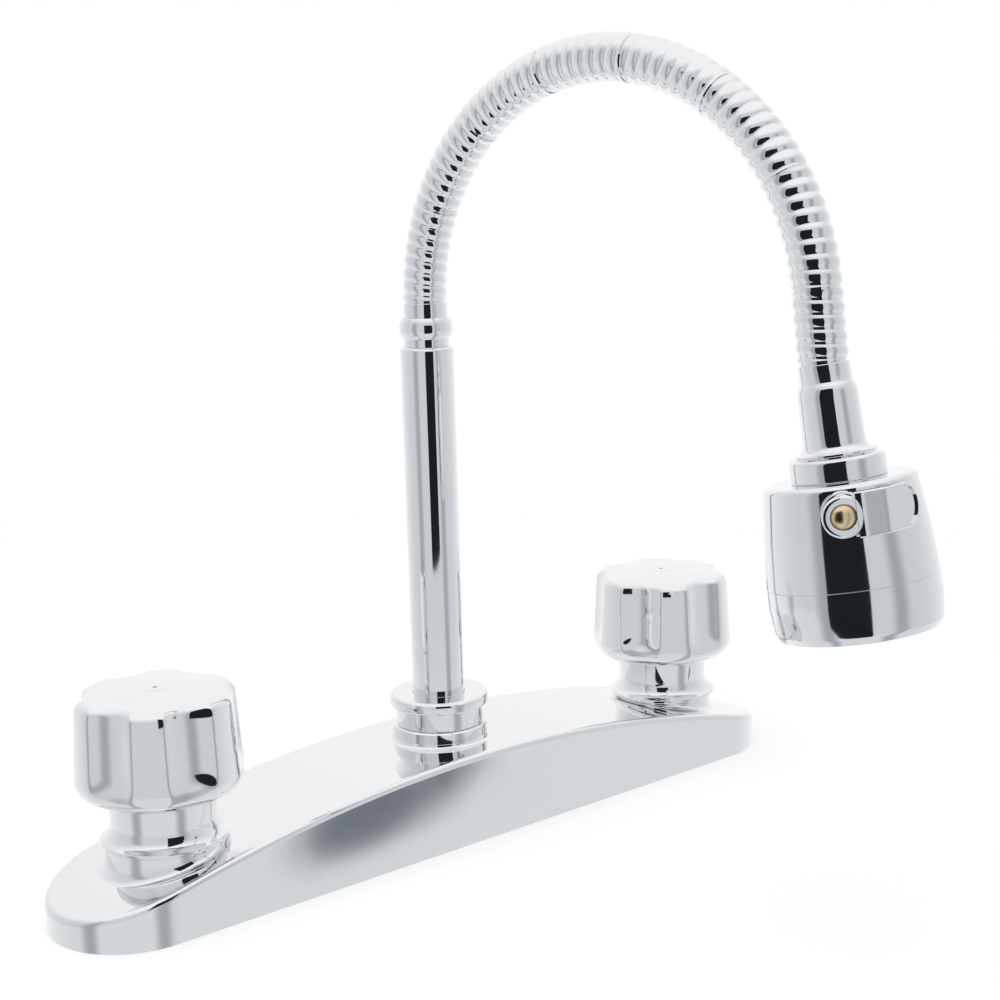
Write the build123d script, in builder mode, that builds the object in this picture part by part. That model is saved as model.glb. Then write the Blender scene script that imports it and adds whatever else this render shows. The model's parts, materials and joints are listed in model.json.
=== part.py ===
from build123d import *
from math import cos, pi, radians, sin, sqrt
import os

# Two handle kitchen faucet: an arched deck plate on two quarter-turn valves, and a turning
# spout whose flexible ribbed neck carries a spray head with a side lever.
# Millimetres. The origin lies on the deck face under the spout. X runs along the valves,
# -Y faces the user and +Z is up.

# Deck plate
valve_spacing = 203.2
deck_length = 275.5
deck_width = 50.0
crown_height = 28.6
arch_radius = 474.0
shell_wall = 2.5
ridge_round = 1.6
boss_cove = 1.5
gasket_thickness = 2.0
gasket_clearance = 0.3

# Valve bosses of the plate, and the brass bodies that stand in them
valve_boss_radius = 17.2
valve_boss_top = 21.6
valve_boss_bottom = 12.0
body_seat_height = 13.5
body_clearance = 0.4
body_neck_radius = 13.3
body_shoulder_radius = 15.5
body_thread_radius = 12.0
body_top = 26.0
body_thread_drop = 1.5
thread_clearance = 0.1

# Threaded shanks below the deck
shank_radius = 10.45
shank_bore_radius = 6.2
shank_length = 52.0
supply_thread_length = 20.0
thread_relief_height = 2.0
thread_relief_depth = 0.8
deck_thickness = 18.0
washer_radius = 17.0
washer_thickness = 2.0
locknut_flats = 30.0
locknut_height = 8.0

# Ceramic cartridges
seat_height = -2.0
seal_thickness = 2.0
disc_thickness = 3.0
disc_radius = 7.4
disc_clearance = 0.15
disc_port_radius = 4.6
disc_land = 1.2
cartridge_radius = 8.9
cartridge_clearance = 0.1
cartridge_top = 31.0
window_height = 6.0
window_width = 8.0
spindle_radius = 4.0
spindle_clearance = 0.08
spindle_top = 56.0
drive_foot_radius = 6.8
drive_foot_height = 2.5
oring_section = 1.2
oring_squeeze = 0.03
cartridge_ring_height = 25.0

# Bonnet skirts round the valves
bonnet_rim_radius = 18.5
bonnet_rim_height = 1.6
bonnet_rim_edge = 0.7
bonnet_neck_radius = 15.4
bonnet_neck_height = 28.5
bonnet_top = 36.0
bonnet_thread_top = 27.0

# Fluted handles
handle_bottom = 33.0
handle_top = 66.5
handle_dome = 1.2
handle_crown_radius = 22.1
handle_belly_radius = 24.3
handle_belly_height = 40.0
handle_foot_radius = 19.5
handle_edge = 2.2
handle_wall = 3.0
handle_roof = 5.5
flute_count = 6
flute_radius = 24.0
flute_depth = 3.3
ridge_softness = 1.2
handle_phase = {"hot": 25.0, "cold": 27.0}
handle_hub_radius = 6.4
handle_hub_bottom = 38.0
spline_clearance = 0.05
screw_radius = 2.0
screw_head_radius = 3.4
screw_head_height = 2.4
screw_length = 13.0
screw_web = 2.0
screw_slot_width = 0.8
screw_slot_length = 5.4
screw_slot_depth = 1.2
tap_depth = 14.0
cap_radius = 3.9
cap_height = 0.9
cap_stem_depth = 1.8
cap_edge = 0.4

# Brass hub, crossover tubes and nut of the spout
crossover_height = 7.5
crossover_radius = 4.5
crossover_wall = 0.9
crossover_insertion = 2.0
hub_radius = 15.0
hub_shoulder_top = 22.0
hub_neck_radius = 11.8
hub_top = 38.0
hub_chamber_radius = 7.8
hub_bore_floor = 14.0
spout_boss_radius = 15.4
spout_boss_top = 33.5
nut_body_radius = 14.2
nut_flange_radius = 16.0
nut_flange_bottom = 39.6
nut_top = 43.5
nut_edge = 1.5
nut_clearance = 0.3

# Spout tube
tube_radius = 8.4
tube_wall = 1.8
tube_foot = 16.0
tube_top = 155.5
tube_clearance = 0.1
tube_shoulder = 1.4
oring_heights = (20.0, 27.0)
split_ring_height = 2.0
split_ring_radius = 10.4
split_ring_depth = 0.6
split_ring_gap = 2.0
split_ring_play = 0.3

# Flexible neck
neck_turn = 10.0
neck_bend_radius = 69.5
neck_bend = 174.0
bent_links = 7
ribs_per_link = 8
tail_ribs = 5
rib_radius = 6.85
rib_root_radius = 6.0
rib_foot_width = 2.8
rib_crest_width = 1.7
rib_embedding = 0.4
ball_radius = 5.55
socket_clearance = 0.2
hose_bore_radius = 4.4
link_gap = 0.9
hose_radius = 4.2
hose_wall = 1.0
hose_start = 4.3
hose_reach = 2.9

# Fitting at the foot of the neck
collar_groove_radius = 7.05
collar_groove_height = 2.5
bead_radius = 8.4
bead_height = 6.5
bead_round = 0.9
ferrule_radius = 6.85
ferrule_length = 5.0
spigot_depth = 9.0
spigot_clearance = 0.1

# Fitting between the neck and the head; heights run from the last pivot along the head's axis
head_lean = 9.5
end_gap = 0.7
end_ferrule_length = 5.4
end_shoulder = 9.6
end_collar_radius = 7.9
end_collar_length = 21.5
end_collar_taper = 0.3
end_flare_radius = 10.8
end_flare_length = 24.6
end_flare_lip = 0.8
stem_radius = 7.0
stem_clearance = 0.3
flange_radius = 9.0
flange_start = 27.6
flange_thickness = 1.8
spigot_radius = 6.0
spigot_end = 34.0
swivel_clearance = 0.08

# Spray head
swivel_nut_radius = 12.6
swivel_nut_start = 24.9
swivel_nut_edge = 1.2
shell_start = 31.0
shell_top_radius = 20.0
shell_end = 57.6
shell_end_radius = 22.7
head_wall = 2.0
head_edge = 1.6
skirt_belly_radius = 22.8
skirt_belly = 62.5
skirt_end = 71.6
skirt_end_radius = 21.7
skirt_edge_height = 1.2
skirt_edge_flare = 0.5
skirt_rim = 0.4
skirt_collar_depth = 4.0
skirt_collar_root = 1.0
skirt_collar_taper = 0.4
seam_gap = 0.25
core_neck_radius = 10.9
core_radius = 15.0
core_shoulder = 33.2
core_end = 50.0
core_floor = 2.4
waterway_radius = 2.1
stream_tube_radius = 8.6
stream_tube_wall = 1.0
plate_start = 64.6
plate_thickness = 2.4
plate_clearance = 0.3
lip_width = 1.6
nozzle_radius = 0.9
nozzle_pitch = 4.5
nozzle_ring_radii = (11.2, 14.4, 17.0)
aerator_radius = 7.3
aerator_wall = 1.0
aerator_end = 68.6
aerator_grid = 3.2
aerator_slot = 2.5

# Lever of the head and the spool it turns
lever_turn = 150.0
lever_height = 38.0
lever_pad_radius = 5.3
lever_pad_end = 22.6
lever_pad_root = 1.4
lever_boss_radius = 5.0
lever_boss_start = 22.9
lever_boss_end = 28.6
lever_thickness = 2.4
lever_width = 10.4
lever_bend_start = 5.5
lever_knee = 11.5
lever_knee_depth = 25.5
lever_tip = 16.8
lever_tip_depth = 18.6
lever_corner = 4.6
lever_edge = 0.8
tab_setback = 0.6
tab_overlap = 1.6
spool_radius = 3.1
spool_clearance = 0.08
spool_start = 3.0
spool_square = 3.6
square_clearance = 0.05
spool_end_play = 0.3
spool_slot_depth = 2.1
lever_screw_radius = 1.4
lever_screw_head_radius = 3.0
lever_screw_head_height = 1.6
lever_screw_reach = 3.6
lever_screw_edge = 0.4
lever_screw_slot = 0.7
lever_tap_depth = 4.0
lever_recess = 2.6
recess_clearance = 0.2

# Cuts run this far past the face that they open
cut_overlap = 1.0

# Places worked out from the sizes above
half_spacing = valve_spacing / 2
arch_center = crown_height - arch_radius
boss_bore_radius = body_neck_radius + body_clearance
spout_boss_bore = hub_neck_radius + body_clearance
cartridge_bore = cartridge_radius + cartridge_clearance
spindle_bore = spindle_radius + spindle_clearance
fixed_disc_bottom = seat_height + seal_thickness
moving_disc_bottom = fixed_disc_bottom + disc_thickness
drive_bottom = moving_disc_bottom + disc_thickness
bonnet_rim_top = valve_boss_top + bonnet_rim_height
screw_seat = spindle_top + screw_web
tube_bore = tube_radius - tube_wall
neck_start = tube_top + collar_groove_height + bead_height + ferrule_length
hub_bore = tube_radius + tube_clearance
socket_radius = ball_radius + socket_clearance
link_bend = neck_bend / bent_links
rib_pitch = neck_bend_radius * radians(link_bend) / ribs_per_link
neck_side = Vector(cos(radians(neck_turn)), sin(radians(neck_turn)), 0)
neck_out = Vector(sin(radians(neck_turn)), -cos(radians(neck_turn)), 0)
neck_arc = Axis(neck_out * neck_bend_radius + Vector(0, 0, neck_start), neck_side)
valves = {"hot": -half_spacing, "cold": half_spacing}


def neck_frame(bend):
    """Frame on the neck's curve after a bend in degrees; Z runs along the neck, X is its hinge axis."""
    angle = radians(bend)
    reach = neck_bend_radius * (1 - cos(angle))
    height = neck_start + neck_bend_radius * sin(angle)
    return Plane(
        origin=neck_out * reach + Vector(0, 0, height),
        x_dir=neck_side,
        z_dir=neck_out * sin(angle) + Vector(0, 0, cos(angle)),
    )


def head_frame():
    """Frame at the last pivot; Z runs down the head, which leans a little more than the neck's tail."""
    tail = neck_frame(neck_bend)
    lean = radians(head_lean)
    return Plane(
        origin=tail.origin + tail.z_dir * (tail_ribs * rib_pitch),
        x_dir=neck_side,
        z_dir=neck_out * sin(lean) - Vector(0, 0, cos(lean)),
    )


def inner_side(outer_line, thickness):
    """Inner corners of a bent strip whose outer side runs through the given points."""
    points = [Vector(*point) for point in outer_line]
    runs = [(end - start).normalized() for start, end in zip(points, points[1:])]
    normals = [Vector(run.Y, -run.X) for run in runs]
    corners = [points[0] + normals[0] * thickness]
    for point, before, after in zip(points[1:], normals, normals[1:]):
        corners.append(point + (before + after) * (thickness / (1 + before.dot(after))))
    corners.append(points[-1] + normals[-1] * thickness)
    return [(corner.X, corner.Y) for corner in corners]


def lever_frame():
    """Frame on the head's axis at the lever; Z points out through the lever's boss, X along its tab."""
    head = head_frame()
    angle = radians(lever_turn)
    outward = head.x_dir * cos(angle) + head.y_dir * sin(angle)
    along = head.x_dir * sin(angle) - head.y_dir * cos(angle)
    return Plane(origin=head.origin + head.z_dir * lever_height, x_dir=along, z_dir=outward)


def turn(frame, *outline, mode=Mode.ADD):
    """Revolve a closed outline of (radius, height) points about a frame's Z axis."""
    section = Plane(origin=frame.origin, x_dir=frame.x_dir, z_dir=-frame.y_dir)
    with BuildSketch(section) as profile:
        with BuildLine():
            Polyline(*outline, close=True)
        make_face()
    revolve(profile.sketch, axis=Axis(frame.origin, frame.z_dir), mode=mode)


def drill(frame, radius, start, end):
    """Cut a round hole along a frame's Z axis."""
    with BuildSketch(frame.offset(start)) as hole:
        Circle(radius)
    extrude(hole.sketch, amount=end - start, mode=Mode.SUBTRACT)


def ring_seal(frame, height, inner_radius, outer_radius):
    """Add an O-ring that fills the space between two radii."""
    section = (outer_radius - inner_radius) / 2
    with Locations(frame.offset(height)):
        Torus(inner_radius + section, section)


def rims_of(builder, radius):
    """Round edges of a builder's part that have the given radius."""
    circles = builder.edges().filter_by(GeomType.CIRCLE)
    return circles.filter_by(lambda edge: abs(edge.radius - radius) < 0.01)


def save(builder, name):
    builder.part.label = name
    export_step(builder.part, f"parts/{name}.step")


os.makedirs("parts", exist_ok=True)
upright = {side: Plane((x, 0, 0)) for side, x in valves.items()}


# Deck plate: an open shell under an arched top, with a round boss for each valve and the spout
def vault(inset):
    """A stadium block under the arch, every face moved in by the inset."""
    with BuildPart() as block:
        with BuildSketch():
            SlotOverall(deck_length - 2 * inset, deck_width - 2 * inset)
        extrude(amount=crown_height)
        with BuildSketch(Plane.XZ):
            with Locations((0, arch_center)):
                Circle(arch_radius - inset)
        extrude(amount=deck_width, both=True, mode=Mode.INTERSECT)
    return block.part


with BuildPart() as deck_plate:
    add(vault(0))
    crown = deck_plate.faces().sort_by(Axis.Z)[-1]
    fillet(crown.edges(), ridge_round)
    for x in valves.values():
        with BuildSketch(Plane.XY.offset(valve_boss_bottom)):
            with Locations((x, 0)):
                Circle(valve_boss_radius)
        extrude(amount=valve_boss_top - valve_boss_bottom)
    with BuildSketch(Plane.XY.offset(hub_shoulder_top)):
        Circle(spout_boss_radius)
    extrude(amount=spout_boss_top - hub_shoulder_top)
    roots = deck_plate.edges().filter_by(GeomType.BSPLINE).filter_by(lambda edge: edge.is_closed)
    fillet(roots, boss_cove)
    add(vault(shell_wall), mode=Mode.SUBTRACT)
    for x in valves.values():
        with BuildSketch(Plane.XY.offset(valve_boss_bottom)):
            with Locations((x, 0)):
                Circle(valve_boss_radius)
                Circle(boss_bore_radius, mode=Mode.SUBTRACT)
        extrude(amount=valve_boss_top - valve_boss_bottom)
        drill(Plane((x, 0, 0)), body_shoulder_radius + body_clearance, 0, body_seat_height)
        drill(Plane((x, 0, 0)), boss_bore_radius, 0, crown_height)
    with BuildSketch(Plane.XY.offset(hub_shoulder_top)):
        Circle(spout_boss_radius)
        Circle(spout_boss_bore, mode=Mode.SUBTRACT)
    extrude(amount=spout_boss_top - hub_shoulder_top)
    drill(Plane.XY, spout_boss_bore, 0, spout_boss_top)
save(deck_plate, "deck_plate")

with BuildPart() as base_gasket:
    with BuildSketch():
        gasket_inset = 2 * (shell_wall + gasket_clearance)
        SlotOverall(deck_length - gasket_inset, deck_width - gasket_inset)
        with Locations(*[(x, 0) for x in valves.values()]):
            Circle(shank_radius + body_clearance, mode=Mode.SUBTRACT)
    extrude(amount=gasket_thickness)
save(base_gasket, "base_gasket")


# Waterway: two valve bodies, a hub for the spout and the tubes that cross to it
def valve_body(frame, port_direction):
    """Brass body with its shank, cartridge bore and the socket of the crossover tube."""
    relief_bottom = supply_thread_length - shank_length
    with BuildPart() as body:
        turn(
            frame,
            (0, -shank_length),
            (shank_radius, -shank_length),
            (shank_radius, relief_bottom),
            (shank_radius - thread_relief_depth, relief_bottom),
            (shank_radius - thread_relief_depth, relief_bottom + thread_relief_height),
            (shank_radius, relief_bottom + thread_relief_height),
            (shank_radius, gasket_thickness),
            (body_shoulder_radius, gasket_thickness),
            (body_shoulder_radius, body_seat_height),
            (body_neck_radius, body_seat_height),
            (body_neck_radius, valve_boss_top - body_thread_drop),
            (body_thread_radius, valve_boss_top - body_thread_drop),
            (body_thread_radius, body_top),
            (0, body_top),
        )
        drill(frame, shank_bore_radius, -shank_length, seat_height)
        drill(frame, cartridge_bore, seat_height, body_top)
        port = Plane(
            origin=frame.origin + Vector(0, 0, crossover_height),
            x_dir=(0, 1, 0),
            z_dir=(port_direction, 0, 0),
        )
        drill(port, crossover_radius - crossover_wall, cartridge_bore - cut_overlap, body_shoulder_radius)
        drill(port, crossover_radius, body_shoulder_radius - crossover_insertion, body_shoulder_radius)
    return body


for side, frame in upright.items():
    save(valve_body(frame, -valves[side] / half_spacing), f"{side}_valve_body")

with BuildPart() as spout_hub:
    turn(
        Plane.XY,
        (0, gasket_thickness),
        (hub_radius, gasket_thickness),
        (hub_radius, hub_shoulder_top),
        (hub_neck_radius, hub_shoulder_top),
        (hub_neck_radius, hub_top),
        (0, hub_top),
    )
    drill(Plane.XY, hub_chamber_radius, gasket_thickness + shell_wall, hub_bore_floor)
    drill(Plane.XY, hub_bore, hub_bore_floor, hub_top)
    drill(
        Plane.XY,
        split_ring_radius + split_ring_play,
        hub_top - split_ring_height + split_ring_play,
        hub_top,
    )
    for direction in (-1, 1):
        port = Plane(origin=(0, 0, crossover_height), x_dir=(0, 1, 0), z_dir=(direction, 0, 0))
        drill(port, crossover_radius - crossover_wall, hub_chamber_radius - cut_overlap, hub_radius)
        drill(port, crossover_radius, hub_radius - crossover_insertion, hub_radius)
save(spout_hub, "spout_hub")

with BuildPart() as crossover_tubes:
    inner_end = hub_radius - crossover_insertion
    outer_end = half_spacing - body_shoulder_radius + crossover_insertion
    for direction in (-1, 1):
        across = Plane(origin=(0, 0, crossover_height), x_dir=(0, 1, 0), z_dir=(direction, 0, 0))
        with BuildSketch(across.offset(inner_end)):
            Circle(crossover_radius)
            Circle(crossover_radius - crossover_wall, mode=Mode.SUBTRACT)
        extrude(amount=outer_end - inner_end)
save(crossover_tubes, "crossover_tubes")

with BuildPart() as shank_washers:
    for frame in upright.values():
        with BuildSketch(frame.offset(-deck_thickness - washer_thickness)):
            Circle(washer_radius)
            Circle(shank_radius + body_clearance, mode=Mode.SUBTRACT)
        extrude(amount=washer_thickness)
save(shank_washers, "shank_washers")

with BuildPart() as shank_locknuts:
    for frame in upright.values():
        with BuildSketch(frame.offset(-deck_thickness - washer_thickness - locknut_height)):
            RegularPolygon(locknut_flats / 2, 6, major_radius=False)
            Circle(shank_radius + thread_clearance, mode=Mode.SUBTRACT)
        extrude(amount=locknut_height)
save(shank_locknuts, "shank_locknuts")


# Cartridges: a seal and a fixed disc below, a turning disc that the spindle drives
def half_port(frame, bottom, side_sign):
    """Cut the kidney port of a ceramic disc on one side of its middle."""
    with BuildSketch(frame.offset(bottom)) as port:
        Circle(disc_port_radius)
        with Locations((0, side_sign * -disc_port_radius)):
            Rectangle(
                2 * (disc_port_radius + cut_overlap),
                2 * (disc_port_radius + disc_land / 2),
                mode=Mode.SUBTRACT,
            )
    extrude(port.sketch, amount=disc_thickness, mode=Mode.SUBTRACT)


def seat_seal(frame):
    with BuildPart() as seal:
        with BuildSketch(frame.offset(seat_height)):
            Circle(disc_radius)
            Circle(disc_port_radius + disc_land / 2, mode=Mode.SUBTRACT)
        extrude(amount=seal_thickness)
    return seal


def ceramic_disc(frame, bottom, port_side):
    with BuildPart() as disc:
        with BuildSketch(frame.offset(bottom)):
            Circle(disc_radius)
        extrude(amount=disc_thickness)
        half_port(frame, bottom, port_side)
    return disc


def cartridge_body(frame):
    """Brass sleeve with two side windows and a collar that guides the spindle."""
    collar_bottom = drive_bottom + window_height + drive_foot_height
    with BuildPart() as sleeve:
        turn(
            frame,
            (disc_radius + disc_clearance, fixed_disc_bottom),
            (cartridge_radius, fixed_disc_bottom),
            (cartridge_radius, cartridge_top),
            (spindle_bore, cartridge_top),
            (spindle_bore, collar_bottom),
            (disc_radius + disc_clearance, collar_bottom),
        )
        with BuildSketch(frame.offset(drive_bottom + drive_foot_height)):
            Rectangle(4 * cartridge_radius, window_width)
        extrude(amount=window_height, mode=Mode.SUBTRACT)
        groove = spindle_radius + oring_section
        turn(
            frame,
            (spindle_radius, cartridge_ring_height),
            (groove, cartridge_ring_height),
            (groove, cartridge_ring_height + oring_section),
            (spindle_radius, cartridge_ring_height + oring_section),
            mode=Mode.SUBTRACT,
        )
    return sleeve


def valve_spindle(frame):
    """Stem with a drive foot below and a splined tip above, tapped for the handle screw."""
    with BuildPart() as stem:
        turn(
            frame,
            (0, drive_bottom),
            (drive_foot_radius, drive_bottom),
            (drive_foot_radius, drive_bottom + drive_foot_height),
            (spindle_radius, drive_bottom + drive_foot_height),
            (spindle_radius, spindle_top),
            (0, spindle_top),
        )
        drill(frame, screw_radius, spindle_top - tap_depth, spindle_top)
    return stem


def spindle_seal(frame):
    with BuildPart() as seal:
        ring_seal(
            frame,
            cartridge_ring_height + oring_section / 2,
            spindle_radius + oring_squeeze,
            spindle_radius + oring_section - oring_squeeze,
        )
    return seal


def valve_bonnet(frame):
    """Chrome skirt that screws onto the valve body and holds the plate down."""
    neck_edge = (bonnet_rim_radius - bonnet_rim_edge, bonnet_rim_top)
    with BuildPart() as bonnet:
        section = Plane(origin=frame.origin, x_dir=frame.x_dir, z_dir=-frame.y_dir)
        with BuildSketch(section):
            with BuildLine():
                Polyline(
                    neck_edge,
                    (bonnet_rim_radius, bonnet_rim_top - bonnet_rim_edge),
                    (bonnet_rim_radius, valve_boss_top),
                    (body_thread_radius + thread_clearance, valve_boss_top),
                    (body_thread_radius + thread_clearance, bonnet_thread_top),
                    (cartridge_radius + body_clearance, bonnet_thread_top),
                    (cartridge_radius + body_clearance, bonnet_top),
                    (bonnet_neck_radius, bonnet_top),
                    (bonnet_neck_radius, bonnet_neck_height),
                )
                TangentArc((bonnet_neck_radius, bonnet_neck_height), neck_edge, tangent=(0, -1))
            make_face()
        revolve(axis=Axis(frame.origin, frame.z_dir))
    return bonnet


def fluted_outline(plane, radius, first_flute):
    """Round section with concave flutes and softened ridges."""
    with BuildSketch(plane) as outline:
        Circle(radius)
        flute_centers = radius - flute_depth + flute_radius
        with PolarLocations(flute_centers, flute_count, start_angle=first_flute):
            Circle(flute_radius, mode=Mode.SUBTRACT)
        fillet(outline.vertices(), ridge_softness)
    return outline.sketch


def fluted_handle(frame, first_flute):
    """Hollow knob with concave flutes, a low dome and a splined hub inside."""
    rim_height = handle_top - handle_dome
    side_top = rim_height - handle_edge
    slope = (handle_belly_radius - handle_crown_radius) / (side_top - handle_belly_height)
    lower_radius = handle_belly_radius + slope * (handle_belly_height - handle_bottom)
    upper_radius = handle_belly_radius - slope * (handle_top - handle_belly_height)
    section = Plane(origin=frame.origin, x_dir=frame.x_dir, z_dir=-frame.y_dir)
    with BuildPart() as knob:
        loft([
            fluted_outline(frame.offset(handle_bottom), lower_radius, first_flute),
            fluted_outline(frame.offset(handle_top), upper_radius, first_flute),
        ])
        with BuildSketch(section):
            with BuildLine():
                ThreePointArc(
                    (0, handle_top),
                    (handle_crown_radius / 2, handle_top - handle_dome / 4),
                    (handle_crown_radius - handle_edge, rim_height),
                )
                Spline(
                    (handle_crown_radius - handle_edge, rim_height),
                    (handle_crown_radius, side_top),
                    tangents=((1, -0.1), (slope, -1)),
                )
                Line((handle_crown_radius, side_top), (handle_belly_radius, handle_belly_height))
                Spline(
                    (handle_belly_radius, handle_belly_height),
                    (handle_foot_radius, handle_bottom),
                    tangents=((slope, -1), (-1, -0.25)),
                )
                Polyline(
                    (handle_foot_radius, handle_bottom),
                    (0, handle_bottom),
                    (0, handle_top),
                )
            make_face()
        revolve(axis=Axis(frame.origin, frame.z_dir), mode=Mode.INTERSECT)
        turn(
            frame,
            (handle_hub_radius, handle_bottom),
            (handle_foot_radius - handle_wall, handle_bottom),
            (handle_foot_radius - handle_wall, handle_top - handle_roof - handle_wall),
            (handle_foot_radius - 2 * handle_wall, handle_top - handle_roof),
            (handle_hub_radius, handle_top - handle_roof),
            mode=Mode.SUBTRACT,
        )
        drill(frame, handle_hub_radius + cut_overlap, handle_bottom, handle_hub_bottom)
        drill(frame, spindle_radius + spline_clearance, handle_hub_bottom, spindle_top)
        drill(frame, screw_radius + spline_clearance, spindle_top, handle_top)
        drill(frame, screw_head_radius + spline_clearance, screw_seat, handle_top)
    return knob


def handle_screw(frame):
    """Pan head screw with a cross recess, down into the spindle."""
    with BuildPart() as screw:
        turn(
            frame,
            (0, screw_seat - screw_length),
            (screw_radius, screw_seat - screw_length),
            (screw_radius, screw_seat),
            (screw_head_radius, screw_seat),
            (screw_head_radius, screw_seat + screw_head_height),
            (0, screw_seat + screw_head_height),
        )
        with BuildSketch(frame.offset(screw_seat + screw_head_height)):
            Rectangle(screw_slot_length, screw_slot_width)
            Rectangle(screw_slot_width, screw_slot_length)
        extrude(amount=-screw_slot_depth, mode=Mode.SUBTRACT)
    return screw


def index_cap(frame):
    """Plain round button that closes the screw hole."""
    with BuildPart() as button:
        turn(
            frame,
            (0, handle_top - cap_stem_depth),
            (screw_head_radius, handle_top - cap_stem_depth),
            (screw_head_radius, handle_top),
            (cap_radius, handle_top),
            (cap_radius, handle_top + cap_height - cap_edge),
            (cap_radius - cap_edge, handle_top + cap_height),
            (0, handle_top + cap_height),
        )
    return button


for side, frame in upright.items():
    port_side = 1 if side == "hot" else -1
    save(seat_seal(frame), f"{side}_seat_seal")
    save(ceramic_disc(frame, fixed_disc_bottom, port_side), f"{side}_fixed_disc")
    save(ceramic_disc(frame, moving_disc_bottom, -port_side), f"{side}_moving_disc")
    save(cartridge_body(frame), f"{side}_cartridge_body")
    save(valve_spindle(frame), f"{side}_spindle")
    save(spindle_seal(frame), f"{side}_spindle_seal")
    save(valve_bonnet(frame), f"{side}_bonnet")
    save(fluted_handle(frame, handle_phase[side]), f"{side}_handle")
    save(handle_screw(frame), f"{side}_handle_screw")
    save(index_cap(frame), f"{side}_index_cap")


# Spout: a nut holds the tube's split ring down on the hub
with BuildPart() as spout_nut:
    web_bottom = hub_top + 2 * split_ring_play
    turn(
        Plane.XY,
        (hub_neck_radius + thread_clearance, spout_boss_top),
        (nut_body_radius, spout_boss_top),
        (nut_body_radius, nut_flange_bottom),
        (nut_flange_radius, nut_flange_bottom),
        (nut_flange_radius, nut_top),
        (tube_radius + nut_clearance, nut_top),
        (tube_radius + nut_clearance, web_bottom),
        (hub_neck_radius + thread_clearance, web_bottom),
    )
    fillet(rims_of(spout_nut, nut_flange_radius), nut_edge)
save(spout_nut, "spout_nut")

with BuildPart() as spout_tube:
    turn(
        Plane.XY,
        (tube_bore, tube_foot),
        (tube_radius, tube_foot),
        (tube_radius, tube_top),
        (tube_bore, tube_top),
    )
    shoulder = spout_tube.edges().filter_by(GeomType.CIRCLE).group_by(Axis.Z)[-1].sort_by(SortBy.RADIUS)[-1]
    fillet(shoulder, tube_shoulder)
    ring_floor = hub_bore - oring_section - oring_squeeze
    for height in oring_heights:
        turn(
            Plane.XY,
            (ring_floor, height - oring_section / 2),
            (tube_radius + cut_overlap, height - oring_section / 2),
            (tube_radius + cut_overlap, height + oring_section / 2),
            (ring_floor, height + oring_section / 2),
            mode=Mode.SUBTRACT,
        )
    ring_bottom = hub_top - split_ring_height + 2 * split_ring_play
    turn(
        Plane.XY,
        (tube_radius - split_ring_depth, ring_bottom),
        (tube_radius + cut_overlap, ring_bottom),
        (tube_radius + cut_overlap, ring_bottom + split_ring_height),
        (tube_radius - split_ring_depth, ring_bottom + split_ring_height),
        mode=Mode.SUBTRACT,
    )
save(spout_tube, "spout_tube")

with BuildPart() as spout_seals:
    for height in oring_heights:
        ring_seal(Plane.XY, height, ring_floor + oring_squeeze, hub_bore - oring_squeeze)
save(spout_seals, "spout_seals")

with BuildPart() as split_ring:
    with BuildSketch(Plane.XY.offset(ring_bottom)):
        Circle(split_ring_radius)
        Circle(tube_radius - split_ring_depth, mode=Mode.SUBTRACT)
        with Locations((0, split_ring_radius)):
            Rectangle(split_ring_gap, 2 * split_ring_radius, mode=Mode.SUBTRACT)
    extrude(amount=split_ring_height)
save(split_ring, "spout_split_ring")

# Foot of the neck: spigot in the tube, a rounded bead, a plain ferrule and the first ball
with BuildPart() as neck_base:
    bead_bottom = tube_top + collar_groove_height
    bead_top = bead_bottom + bead_height
    bead_end_radius = bead_radius - bead_round
    with BuildSketch(Plane.XZ):
        with BuildLine():
            Polyline(
                (bead_end_radius, bead_top),
                (ferrule_radius, bead_top),
                (ferrule_radius, neck_start - link_gap / 2),
                (0, neck_start - link_gap / 2),
                (0, tube_top - spigot_depth),
                (tube_bore - spigot_clearance, tube_top - spigot_depth),
                (tube_bore - spigot_clearance, tube_top),
                (collar_groove_radius, tube_top),
                (collar_groove_radius, bead_bottom),
                (bead_end_radius, bead_bottom),
            )
            ThreePointArc(
                (bead_end_radius, bead_bottom),
                (bead_radius, bead_bottom + bead_height / 2),
                (bead_end_radius, bead_top),
            )
        make_face()
    revolve(axis=Axis.Z)
    with Locations((0, 0, neck_start)):
        Sphere(ball_radius)
    drill(Plane.XY, hose_bore_radius, tube_top - spigot_depth, neck_start + ball_radius)
save(neck_base, "neck_base")


# Flexible neck: curved links of ribbed tube, each with a socket at its start and a ball at its end
def add_ribs(frames):
    """Ring each frame with one rib of the neck, its flanks running on into the tube's wall."""
    flank = (rib_foot_width - rib_crest_width) / 2 / (rib_radius - rib_root_radius)
    root = rib_foot_width / 2 + flank * rib_embedding
    for frame in frames:
        turn(
            frame,
            (rib_root_radius - rib_embedding, -root),
            (rib_radius, -rib_crest_width / 2),
            (rib_radius, rib_crest_width / 2),
            (rib_root_radius - rib_embedding, root),
        )


def bent_tube(radius, start_bend, end_bend, mode=Mode.ADD):
    """Sweep a round section along the neck's arc between two bends."""
    with BuildSketch(neck_frame(start_bend)) as section:
        Circle(radius)
    revolve(section.sketch, axis=neck_arc, revolution_arc=end_bend - start_bend, mode=mode)


def finish_link(start_frame, end_frame):
    """Give a link its ball, socket and the bore that runs out through the ball."""
    with Locations(end_frame):
        Sphere(ball_radius)
    with Locations(start_frame):
        Sphere(socket_radius, mode=Mode.SUBTRACT)
    drill(end_frame, hose_bore_radius, 0, ball_radius + cut_overlap)


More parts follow.
